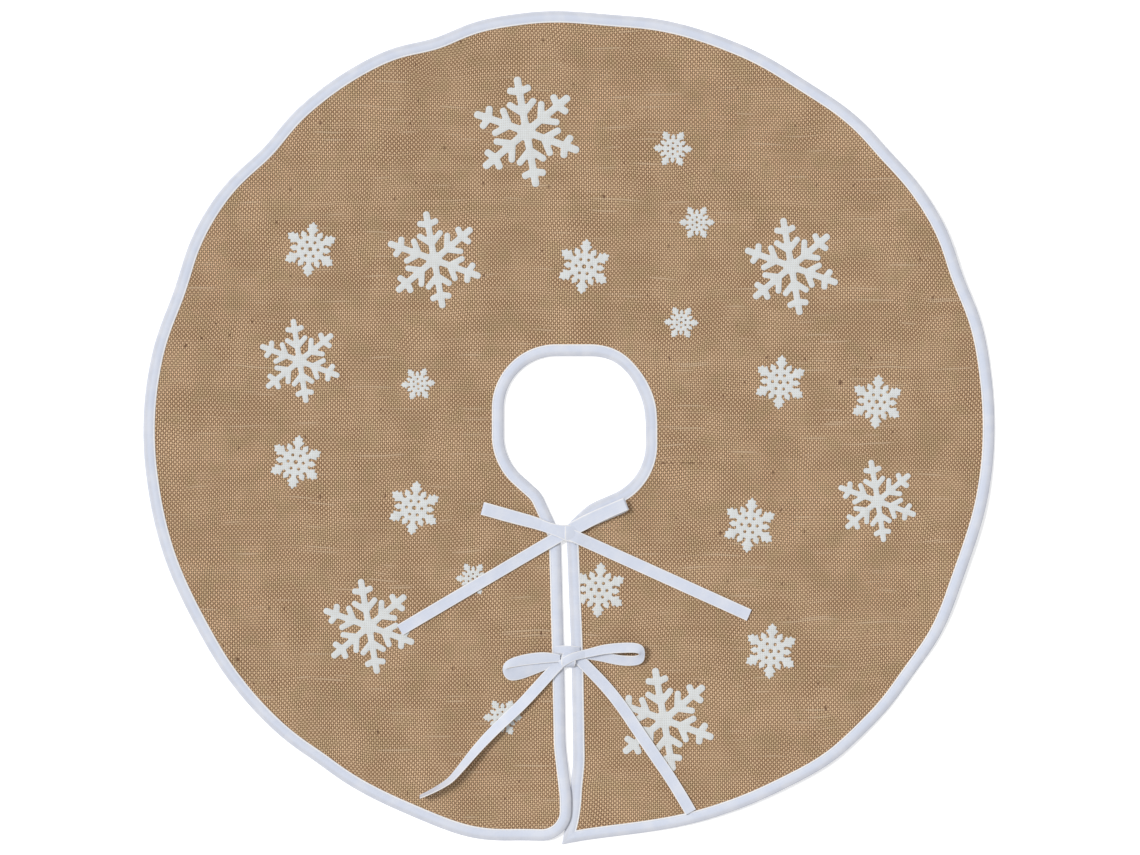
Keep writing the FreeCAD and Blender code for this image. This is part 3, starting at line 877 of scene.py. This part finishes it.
@dataclass
class FreeEdge:
    """The line round hem, slit and neck hole that the edge tape is folded over, in millimetres."""

    tip: Corner = (-1.0, -374.1, 0.0)
    hem_reach: tuple[float, ...] = (370, 375, 380, 383, 381, 380.5, 381, 382, 380, 377, 375, 374,
                                    373, 376, 375, 379, 378, 381.5, 380, 380, 378, 375, 374)
    hem_step: float = 15.0
    hem_start: float = -75.0
    side_share: float = 0.47            # part of a side that a freely rounded corner takes
    left_slit: tuple[Corner, ...] = ((2.4, -371.5, 26.0), (2.2, -330.0, 80.0), (-3.0, -285.0, 120.0),
                                     (-4.5, -208.0, 300.0), (-7.5, -96.6, 30.0))
    neck: tuple[Corner, ...] = ((-25.0, -58.2, 30.0), (-58.5, -28.2, 48.0), (-58.5, 64.4, 47.0),
                                (68.5, 64.4, 50.0), (68.5, -46.5, 48.0), (17.8, -68.1, 50.0))
    right_slit: tuple[Corner, ...] = ((-2.6, -87.1, 16.0), (2.2, -208.0, 300.0), (3.4, -285.0, 200.0),
                                      (4.2, -335.0, 60.0))
    mitre: float = 10.5 * MM            # width of the tape that is mitred at the tip

    def corners(self) -> list[Corner]:
        """List the corners of the edge.

        Returns:
            The corners from the tip round the hem, up the slit, round the neck and down to the tip.
        """
        half = math.radians(self.hem_step / 2)
        hem = []
        for number, reach in enumerate(self.hem_reach):
            angle = math.radians(self.hem_start + number * self.hem_step)
            out = reach / math.cos(half)
            hem.append((out * math.cos(angle), out * math.sin(angle), None))
        return [self.tip, *hem, *self.left_slit, *self.neck, *self.right_slit, self.tip]

    def line(self, step: float) -> np.ndarray:
        """Evenly spaced points along the edge.

        Args:
            step: Distance between points.

        Returns:
            The points, in metres.
        """
        corners = self.corners()
        knots = [(Vector(corners[0][:2]), Vector(corners[0][:2]), Vector(corners[0][:2]))]
        for before, (x, y, radius), after in zip(corners, corners[1:], corners[2:]):
            corner = Vector((x, y))
            back = Vector(before[:2]) - corner
            ahead = Vector(after[:2]) - corner
            turn = math.pi - back.angle(ahead)
            if radius is None:
                radius = self.side_share * min(back.length, ahead.length) / math.tan(turn / 2)
            reach = radius * math.tan(turn / 2)
            handle = reach - 4.0 / 3.0 * math.tan(turn / 4) * radius
            back.normalize()
            ahead.normalize()
            start, end = corner + back * reach, corner + ahead * reach
            knots.append((start, start, corner + back * handle))
            knots.append((corner + ahead * handle, end, end))
        knots.append((Vector(corners[-1][:2]),) * 3)
        curve = bpy.data.curves.new("line", "CURVE")
        curve.resolution_u = 24
        spline = curve.splines.new("BEZIER")
        spline.bezier_points.add(len(knots) - 1)
        for point, (left, middle, right) in zip(spline.bezier_points, knots):
            point.handle_left_type = point.handle_right_type = "FREE"
            point.co = (*middle, 0.0)
            point.handle_left = (*left, 0.0)
            point.handle_right = (*right, 0.0)
        points = evaluated(curve)
        along = distances(points)
        places = np.linspace(0.0, along[-1], round(along[-1] / step) + 1)
        return np.stack([np.interp(places, along, points[:, axis]) for axis in range(3)], axis=1)

    def stations(self, step: float) -> list[Station]:
        """Stations with their across pointing into the cloth, and a mitre where both ends meet.

        Args:
            step: Distance between stations.

        Returns:
            The stations from the tip round to the tip.
        """
        points = self.line(step)
        along = distances(points)
        first = Vector(points[1] - points[0]).normalized()
        last = Vector(points[-2] - points[-1]).normalized()
        half = first.angle(last) / 2
        across = (first + last).normalized() / math.sin(half)
        clear = self.mitre / math.tan(half)
        up = Vector((0.0, 0.0, 1.0))
        made = [Station(Vector(points[0]), across, up, 0.0)]
        for point, way, distance in zip(points, np.gradient(points, axis=0), along):
            if clear < distance < along[-1] - clear:
                into = Vector((-way[1], way[0], 0.0)).normalized()
                made.append(Station(Vector(point), into, up, distance))
        return [*made, Station(Vector(points[-1]), across, up, along[-1])]


@dataclass
class EdgeTape:
    """The tape folded over every edge, as one length."""

    finish: bpy.types.Material
    edge: FreeEdge
    nodes: tuple[str, ...] = ("hem_binding_back", "hem_binding_left", "hem_binding_right",
                              "neck_binding_back", "neck_binding_left", "neck_binding_right",
                              "upper_slit_binding_left", "upper_slit_binding_right",
                              "lower_slit_binding_left", "lower_slit_binding_right")
    step: float = 2.0 * MM
    # across from the fold and up, in millimetres: over the top, round the fold, under, and back inside
    section: tuple[tuple[float, float], ...] = (
        (10.5, 1.72), (10.46, 2.04), (10.2, 2.24), (9.55, 2.22), (9.05, 2.04), (8.5, 2.24), (7.2, 2.5),
        (5.6, 2.55), (3.6, 2.47), (1.9, 2.25), (0.75, 1.88), (0.14, 1.45), (0.0, 1.06), (0.12, 0.7),
        (0.6, 0.3), (1.6, 0.06), (3.2, 0.0), (10.3, 0.0), (10.5, 0.3), (10.3, 0.58), (1.4, 0.62),
        (0.9, 1.1), (1.4, 1.58), (10.2, 1.62))
    folded_width: float = 0.022

    def build(self) -> bpy.types.Object:
        """Carry the folded section round the free edge.

        Returns:
            The tape.
        """
        stations = self.edge.stations(self.step)
        section = [(across * MM, up * MM) for across, up in self.section]
        bm = swept(section, stations, lambda across: across)
        LIE.settle(bm)
        piece = bends(as_piece(bm, "edge_tape", self.finish))
        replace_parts(piece, *self.nodes)
        return piece


@dataclass
class Seam:
    """Single stitches along the inner edge of the tape, and the bar tacks of the ties."""

    finish: bpy.types.Material
    edge: FreeEdge
    nodes: tuple[str, ...] = ("seam_thread_back_left", "seam_thread_back_right", "neck_seam_thread_back",
                              "seam_thread_left", "seam_thread_right")
    inset: float = 9.05 * MM
    height: float = 2.1 * MM
    pitch: float = 3.2 * MM
    stitch: Point = (1.25 * MM, 0.26 * MM, 0.2 * MM)
    tack_height: float = 3.35 * MM
    tack_stitches: int = 9
    tack_slant: float = 12.0            # degrees
    tack_inset: float = 0.75 * MM       # how far a tack is from the outer end of its tie

    def shape(self) -> bpy.types.Mesh:
        """Make the shape of one stitch.

        Returns:
            A stitch of twenty faces, along X.
        """
        bm = bmesh.new()
        bmesh.ops.create_icosphere(bm, subdivisions=1, radius=1.0)
        bmesh.ops.scale(bm, vec=self.stitch, verts=bm.verts)
        mesh = bpy.data.meshes.new("stitch")
        bm.to_mesh(mesh)
        bm.free()
        return mesh

    def gathered(self, places: Sequence[Matrix]) -> bmesh.types.BMesh:
        """Gather stitches into one mesh.

        Args:
            places: Where each stitch goes.

        Returns:
            The mesh, settled onto the lie.
        """
        shape = self.shape()
        bm = bmesh.new()
        for place in places:
            one = shape.copy()
            one.transform(place)
            bm.from_mesh(one)
            bpy.data.meshes.remove(one)
        bpy.data.meshes.remove(shape)
        LIE.settle(bm)
        return bm

    def build(self) -> list[bpy.types.Object]:
        """Make the seam and the bar tacks.

        Returns:
            The two pieces.
        """
        places = []
        stations = self.edge.stations(self.pitch)
        for before, station, after in zip(stations, stations[1:], stations[2:]):
            way = after.origin - before.origin
            spot = station.point(self.inset, self.height)
            places.append(Matrix.Translation(spot) @ Matrix.Rotation(math.atan2(way.y, way.x), 4, "Z"))
        seam = bends(as_piece(self.gathered(places), "seam_stitches", self.finish))
        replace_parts(seam, *self.nodes)
        tacks = as_piece(self.gathered(self.tacks()), "bar_tack_stitches", self.finish)
        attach(tacks, "front")
        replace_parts(tacks, "tie_bar_tacks")
        return [seam, tacks]

    def tacks(self) -> list[Matrix]:
        """Place the close stitches of the four bar tacks.

        Returns:
            Their places, across the sewn ends.
        """
        places = []
        for pair in ("upper", "lower"):
            for side, outer in (("left", 0), ("right", 1)):
                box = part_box(f"{pair}_tie_end_{side}")
                x = box[outer].x + (self.tack_inset if outer == 0 else -self.tack_inset)
                for number in range(self.tack_stitches):
                    y = box[0].y + (box[1].y - box[0].y) * (number + 0.5) / self.tack_stitches
                    slant = math.radians(self.tack_slant * (1 if number % 2 else -1))
                    places.append(Matrix.Translation((x, y, self.tack_height)) @ Matrix.Rotation(slant, 4, "Z"))
        return places


# ------------------------------------------------------------------ ties

@dataclass
class Ribbon:
    """A run of tie tape between two rails, given in millimetres."""

    name: str
    rails: Rails
    body: str = "front"
    nodes: tuple[str, ...] = ()
    held: str = "laid"
    hinge: Point | None = None          # a point and heading in degrees; a run that has one is baked in place instead of being attached to its body
    bend: float = 9.0                   # length of a stretch past the hinge, worked out but not used
    order: int = 3
    thickness: float = 0.75 * MM
    spacing: float = 1.6 * MM
    # section in half widths and thicknesses, with firmer edges
    section: tuple[tuple[float, float], ...] = (
        (-1.0, 0.0), (-0.975, 0.4), (-0.9, 0.56), (-0.78, 0.46), (-0.4, 0.42), (0.0, 0.4), (0.4, 0.42),
        (0.78, 0.46), (0.9, 0.56), (0.975, 0.4), (1.0, 0.0), (0.975, -0.4), (0.9, -0.5), (0.0, -0.4),
        (-0.9, -0.5), (-0.975, -0.4))
    half_width: float = 5.3 * MM

    def stations(self) -> list[Station]:
        """Space stations evenly between the rails.

        Returns:
            The stations.
        """
        left = smooth_points([pair[0] for pair in self.rails], self.order)
        right = smooth_points([pair[1] for pair in self.rails], self.order)
        middle = (left + right) / 2
        along = distances(middle)
        places = np.linspace(0.0, along[-1], max(4, round(along[-1] / self.spacing)))
        left, right, middle = (np.stack([np.interp(places, along, line[:, axis]) for axis in range(3)], axis=1)
                               for line in (left, right, middle))
        ways = np.gradient(middle, axis=0)
        made = []
        for edge, centre, way, distance in zip(right, middle, ways, places):
            across = Vector(edge - centre)
            up = across.cross(Vector(way)).normalized() * self.thickness
            made.append(Station(Vector(centre), across, up, distance))
        return made

    def build(self, finish: bpy.types.Material) -> bpy.types.Object:
        """Args:
            finish: The tape's material.

        Returns:
            The piece.
        """
        stations = self.stations()
        bm = swept(self.section, stations, lambda across: across * self.half_width)
        LIE.settle(bm)
        piece = as_piece(bm, self.name, finish)
        if self.hinge:
            x, y, heading = self.hinge
            angle = math.radians(heading)
            far = (x + self.bend * math.cos(angle), y + self.bend * math.sin(angle))
            x * MM
            y * MM
            far[0] * MM
            far[1] * MM
            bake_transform(piece)
        else:
            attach(piece, self.body)
        if self.nodes:
            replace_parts(piece, *self.nodes)
        whole = 2 * self.half_width
        return piece


def line_of(start: tuple[float, float], heading: float, length: float, half: float,
            heights: Sequence[tuple[float, float, float]]) -> Rails:
    """Rails of a straight flat run.

    Args:
        start: Where its centre line starts, in millimetres.
        heading: Its direction in degrees.
        length: Its length.
        half: Its half width.
        heights: Share of the length, height, and lean of the section in degrees.

    Returns:
        The two rails.
    """
    angle = math.radians(heading)
    way = Vector((math.cos(angle), math.sin(angle), 0.0))
    side = Vector((-way.y, way.x, 0.0))
    rails = []
    for share, height, lean in heights:
        centre = Vector((*start, height)) + way * (length * share)
        edge = side * (half * math.cos(math.radians(lean)))
        edge.z = half * math.sin(math.radians(lean))
        rails.append((tuple(centre + edge), tuple(centre - edge)))
    return rails


def turning(places: Sequence[tuple[float, float, float, float, float]]) -> Rails:
    """Rails of a curved run that turns on edge.

    Args:
        places: Centre, half width seen from above, and height of one edge over the other, in millimetres.

    Returns:
        The two rails.
    """
    rails = []
    for number, (x, y, z, half, rise) in enumerate(places):
        before, after = places[max(number - 1, 0)], places[min(number + 1, len(places) - 1)]
        way = Vector((after[0] - before[0], after[1] - before[1], 0.0)).normalized()
        edge = Vector((-way.y * half, way.x * half, -rise / 2))
        centre = Vector((x, y, z))
        rails.append((tuple(centre + edge), tuple(centre - edge)))
    return rails


@dataclass
class Bow:
    """One bow: loops, tails, knot and the sewn ends under it."""

    finish: bpy.types.Material
    ribbons: Sequence[Ribbon]

    def build(self) -> list[bpy.types.Object]:
        """Make every run of the bow."""
        return [ribbon.build(self.finish) for ribbon in self.ribbons]


def sewn_end(pair: str, side: str) -> Ribbon:
    """Lay out the flat end of a tie, from the slit tape in under the knot.

    Args:
        pair: The upper or lower pair of ties.
        side: The left or right one.

    Returns:
        The run.
    """
    low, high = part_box(f"{pair}_tie_end_{side}")
    middle = (low.y + high.y) / 2 / MM
    outer, inner = (low.x / MM, high.x / MM) if side == "left" else (high.x / MM, low.x / MM)
    half, height = 5.0, 2.72
    rails = [((x, middle - half, height), (x, middle + half, height))
             for x in (outer, (outer + inner) / 2, inner)]
    return Ribbon(f"{pair}_sewn_end_{side}", rails, nodes=(f"{pair}_tie_end_{side}",), thickness=0.6 * MM)


def upper_bow(finish: bpy.types.Material) -> Bow:
    """The flat, squarely folded bow at the neck.

    Args:
        finish: The tape's material.

    Returns:
        The bow.
    """
    loop_left = [
        ((-13.5, -86.6, 4.9), (-16.5, -94.0, 4.7)), ((-24.3, -80.6, 5.0), (-27.0, -91.2, 4.8)),
        ((-50.0, -73.4, 5.0), (-53.0, -84.6, 4.8)), ((-73.0, -66.8, 5.4), (-75.8, -78.2, 5.0)),
        ((-75.2, -66.3, 5.4), (-78.2, -77.8, 4.9)), ((-75.9, -66.2, 4.2), (-78.9, -77.6, 3.8)),
        ((-75.2, -66.5, 3.1), (-78.2, -78.0, 2.9)), ((-72.0, -67.5, 2.8), (-75.0, -78.6, 2.7)),
        ((-50.0, -74.2, 2.6), (-53.0, -85.0, 2.6)), ((-24.3, -82.0, 3.3), (-27.0, -91.4, 3.2)),
        ((-14.5, -87.4, 3.6), (-17.0, -93.6, 3.5))]
    loop_right = [
        ((0.0, -85.0, 4.6), (6.0, -95.4, 4.4)), ((8.0, -80.6, 5.3), (14.0, -91.8, 5.1)),
        ((18.0, -75.6, 5.9), (23.2, -86.5, 5.7)), ((34.0, -68.6, 7.0), (38.6, -79.2, 6.8)),
        ((46.6, -63.2, 8.6), (51.0, -73.9, 8.3)), ((48.6, -62.3, 8.8), (53.0, -72.9, 8.4)),
        ((49.4, -62.3, 7.8), (53.4, -72.9, 7.4)), ((48.3, -64.0, 6.6), (52.3, -74.2, 6.0)),
        ((45.0, -66.0, 5.4), (49.2, -76.0, 4.9)), ((34.0, -70.2, 4.0), (38.4, -80.6, 3.4)),
        ((14.0, -78.4, 3.6), (18.6, -89.0, 3.1)), ((5.0, -82.5, 3.4), (9.8, -92.8, 3.3))]
    wrap = [
        ((-3.2, -86.8, 2.9), (3.0, -86.2, 2.9)), ((-3.4, -87.0, 4.6), (4.4, -86.4, 3.7)),
        ((-3.6, -87.6, 6.0), (6.6, -87.6, 4.3)), ((-3.8, -93.0, 6.6), (10.6, -93.4, 4.5)),
        ((-3.8, -98.2, 6.2), (9.0, -100.0, 4.3)), ((-3.2, -100.4, 4.8), (6.4, -103.0, 3.7)),
        ((-2.6, -101.2, 2.9), (5.2, -103.8, 2.9))]
    cross = [
        ((-31.0, -79.6, 4.4), (-34.0, -89.6, 4.2)), ((-24.0, -81.8, 4.9), (-27.0, -91.4, 4.7)),
        ((-16.0, -84.8, 5.7), (-19.0, -94.0, 5.4)), ((-9.0, -86.2, 6.0), (-10.0, -97.4, 5.7)),
        ((-3.0, -86.4, 5.9), (-3.4, -100.8, 5.6)), ((2.0, -87.0, 4.6), (3.0, -102.6, 4.4))]
    return Bow(finish, [
        Ribbon("upper_bow_loop_left", loop_left, "upper_left_loop", ("upper_loop_left",), "folded",
               (-16.5, -88.0, 165.0)),
        Ribbon("upper_bow_loop_right", loop_right, "upper_right_loop", ("upper_loop_right",), "folded",
               (6.5, -87.4, 23.6)),
        Ribbon("upper_bow_tail_left", line_of((-5.6, -95.0), 210.5, 168.9, 5.3, [
            (0.0, 4.5, 0), (0.06, 4.4, 0), (0.12, 3.4, 2), (0.3, 2.8, -3), (0.55, 3.0, 3), (0.8, 3.1, -2),
            (1.0, 2.9, 1)]), "upper_left_tail", ("upper_tail_left",), "laid",
               (-17.5, -102.0, 210.5)),
        Ribbon("upper_bow_tail_right", line_of((0.0, -94.6), -24.3, 176.8, 5.5, [
            (0.0, 4.9, 0), (0.03, 5.2, 0), (0.06, 5.0, 0), (0.12, 3.4, -2), (0.35, 2.9, 3), (0.6, 2.8, -3),
            (0.85, 3.1, 2), (1.0, 2.8, 0)]), "upper_right_tail", ("upper_tail_right",), "laid",
               (8.5, -98.5, -24.3)),
        Ribbon("upper_knot_band", cross, "front", (), "folded"),
        Ribbon("upper_knot_wrap", wrap, "front", ("upper_knot",), "folded"),
        sewn_end("upper", "left"), sewn_end("upper", "right")])


def lower_bow(finish: bpy.types.Material) -> Bow:
    """The round, open bow halfway down the slit.

    Args:
        finish: The tape's material.

    Returns:
        The bow.
    """
    loop_left = [
        ((-8.0, -202.6, 6.0), (-8.0, -209.0, 6.0)), ((-18.0, -199.8, 6.6), (-18.0, -209.6, 6.4)),
        ((-34.0, -200.8, 7.2), (-34.0, -211.2, 6.6)), ((-48.0, -204.0, 7.4), (-46.0, -212.8, 7.2)),
        ((-55.8, -207.6, 6.8), (-52.6, -213.9, 7.8)), ((-59.6, -213.0, 5.6), (-55.2, -214.6, 7.8)),
        ((-59.0, -220.6, 3.8), (-54.4, -214.6, 6.6)), ((-53.8, -226.4, 2.9), (-50.0, -213.4, 6.0)),
        ((-44.0, -225.4, 2.7), (-41.0, -210.8, 5.8)), ((-30.0, -220.2, 2.9), (-27.0, -208.6, 5.4)),
        ((-17.0, -214.8, 3.6), (-16.0, -205.6, 5.0)), ((-9.0, -210.6, 4.6), (-9.0, -204.6, 4.8))]
    loop_right = [
        ((8.0, -199.8, 6.4), (8.0, -206.6, 6.2)), ((18.0, -196.8, 7.0), (18.0, -204.8, 7.0)),
        ((32.0, -192.9, 8.2), (32.0, -201.6, 8.0)), ((48.0, -191.4, 9.6), (48.0, -200.6, 9.4)),
        ((60.0, -191.4, 10.0), (57.4, -200.3, 10.2)), ((66.8, -194.4, 9.6), (62.0, -201.0, 10.4)),
        ((68.2, -202.0, 8.0), (62.8, -202.0, 9.4)), ((66.6, -210.0, 5.6), (60.6, -203.2, 7.8)),
        ((58.0, -212.9, 4.0), (55.0, -203.6, 6.4)), ((44.0, -212.4, 3.0), (43.0, -202.9, 5.6)),
        ((28.0, -208.6, 3.0), (28.0, -198.8, 4.6)), ((16.0, -206.8, 3.8), (16.0, -199.0, 4.4)),
        ((9.0, -205.8, 4.8), (9.0, -199.6, 4.8))]
    tail_left = [
        (-5.0, -207.2, 5.0, 4.8, 0.0), (-12.0, -214.0, 4.2, 5.0, -0.6), (-27.0, -230.5, 3.6, 5.1, -1.6),
        (-44.0, -249.1, 4.3, 4.9, -3.4), (-66.6, -269.6, 5.2, 4.5, -5.4), (-83.0, -286.6, 6.0, 3.9, -7.0),
        (-102.3, -310.2, 7.0, 2.6, -9.0), (-109.3, -316.3, 7.4, 2.0, -9.6), (-124.5, -325.2, 7.7, 1.2, -10.2),
        (-133.0, -328.8, 7.8, 0.8, -10.4)]
    tail_right = [
        (6.0, -203.4, 5.2, 5.0, 0.0), (13.4, -211.0, 4.4, 5.2, 0.0), (33.1, -231.0, 3.1, 5.3, -0.6),
        (48.4, -250.6, 3.0, 5.3, 0.6), (61.3, -270.2, 3.2, 5.3, -0.4), (78.8, -296.1, 3.3, 5.3, 0.6),
        (94.0, -318.0, 3.0, 5.3, 0.0), (109.1, -343.9, 3.2, 5.3, 0.4)]
    half_knot = [
        ((-12.0, -195.0, 2.9), (-12.0, -201.0, 2.8)), ((-7.0, -194.5, 4.0), (-7.4, -201.9, 3.6)),
        ((-1.0, -194.2, 4.6), (-1.0, -202.4, 3.9)), ((5.0, -194.7, 4.2), (5.0, -201.9, 3.7)),
        ((9.6, -195.8, 2.9), (9.6, -201.2, 2.8))]
    wrap = [
        ((-5.0, -201.0, 3.6), (3.4, -200.8, 3.6)), ((-6.2, -202.2, 5.6), (4.6, -201.8, 6.0)),
        ((-7.0, -204.8, 7.2), (5.6, -204.2, 7.6)), ((-7.2, -208.6, 7.8), (6.2, -207.8, 8.0)),
        ((-6.6, -211.8, 6.8), (5.8, -211.2, 7.0)), ((-5.6, -213.4, 5.0), (5.0, -212.9, 5.0)),
        ((-5.0, -214.0, 3.2), (4.4, -213.6, 3.2))]
    shoulder = [
        ((15.0, -197.6, 6.6), (15.0, -205.4, 6.6)), ((8.0, -199.2, 7.6), (9.0, -206.4, 7.6)),
        ((1.0, -201.4, 8.4), (3.4, -208.2, 8.4)), ((-5.0, -204.6, 7.9), (-2.0, -211.2, 8.2)),
        ((-9.6, -208.6, 6.0), (-6.0, -214.0, 5.8))]
    return Bow(finish, [
        Ribbon("lower_bow_loop_left", loop_left, "lower_left_loop", ("lower_loop_left",), "folded",
               (-14.0, -203.5, 192.0)),
        Ribbon("lower_bow_loop_right", loop_right, "lower_right_loop", ("lower_loop_right",), "folded",
               (12.0, -203.5, 2.0)),
        Ribbon("lower_bow_tail_left", turning(tail_left), "lower_left_tail", ("lower_tail_left",), "laid",
               (-12.0, -216.0, 222.8)),
        Ribbon("lower_bow_tail_right", turning(tail_right), "lower_right_tail", ("lower_tail_right",), "laid",
               (12.0, -214.0, -45.2)),
        Ribbon("lower_half_knot_band", half_knot, "front", ("lower_half_knot",), "folded"),
        Ribbon("lower_knot_wrap", wrap, "front", ("lower_knot",), "folded"),
        Ribbon("lower_knot_shoulder", shoulder, "front", (), "folded"),
        sewn_end("lower", "left"), sewn_end("lower", "right")])


# ------------------------------------------------------------------ studio

@dataclass
class Studio:
    """Pale floor, soft light and a camera straight above."""

    view_width: float = 1.021           # width of the floor that the camera takes in
    lens: float = 85.0
    sensor: float = 36.0
    centre: tuple[float, float] = (0.9 * MM, 0.45 * MM)
    sky: float = 0.56
    sun: float = 2.0
    sun_angle: float = 18.0             # apparent size of the lamp, degrees
    sun_tilt: float = 40.0              # from overhead, degrees
    sun_heading: float = 158.0          # where it stands, degrees from +X
    clip: float = 100.0
    floor_size: float = 6.0
    floor_drop: float = 0.3 * MM        # how far the floor is under the skirt

    def build(self) -> None:
        """Set camera, light, floor and colour handling."""
        scene = bpy.context.scene
        data = bpy.data.cameras.new("camera")
        data.lens, data.sensor_width, data.clip_end = self.lens, self.sensor, self.clip
        camera = bpy.data.objects.new("camera", data)
        camera.location = (*self.centre, self.view_width * self.lens / self.sensor)
        scene.collection.objects.link(camera)
        scene.camera = camera

        lamp = bpy.data.lights.new("key", "SUN")
        lamp.energy, lamp.angle = self.sun, math.radians(self.sun_angle)
        key = bpy.data.objects.new("key", lamp)
        heading = math.radians(self.sun_heading)
        tilt = math.radians(self.sun_tilt)
        level = math.sin(tilt)
        towards = Vector((math.cos(heading) * level, math.sin(heading) * level, math.cos(tilt)))
        key.rotation_euler = towards.to_track_quat("Z", "Y").to_euler()
        scene.collection.objects.link(key)

        world = bpy.data.worlds.new("studio")
        world.use_nodes = True
        world.node_tree.nodes["Background"].inputs["Color"].default_value = (1.0, 1.0, 1.0, 1.0)
        world.node_tree.nodes["Background"].inputs["Strength"].default_value = self.sky
        scene.world = world
        scene.view_settings.view_transform = "Standard"

        bm = bmesh.new()
        bmesh.ops.create_grid(bm, x_segments=1, y_segments=1, size=self.floor_size)
        bmesh.ops.translate(bm, verts=bm.verts, vec=(0.0, 0.0, -self.floor_drop))
        mesh = bpy.data.meshes.new("studio_floor")
        bm.to_mesh(mesh)
        bm.free()
        mesh.materials.append(StudioFloor().make())
        floor = bpy.data.objects.new("studio_floor", mesh)
        scene.collection.objects.link(floor)


def main() -> None:
    """Build the skirt's looks in order."""
    logging.basicConfig(level=logging.INFO, format="%(name)s %(message)s")
    Studio().build()
    edge = FreeEdge()
    thread = Thread().make()
    BurlapPanel(Burlap().make()).build()
    SnowPrints(Ink().make()).build()
    EdgeTape(Cotton(TapeKind.EDGE).make(), edge).build()
    Seam(thread, edge).build()
    tie = Cotton(TapeKind.TIE).make()
    upper_bow(tie).build()
    lower_bow(tie).build()


if __name__ == "__main__":
    main()
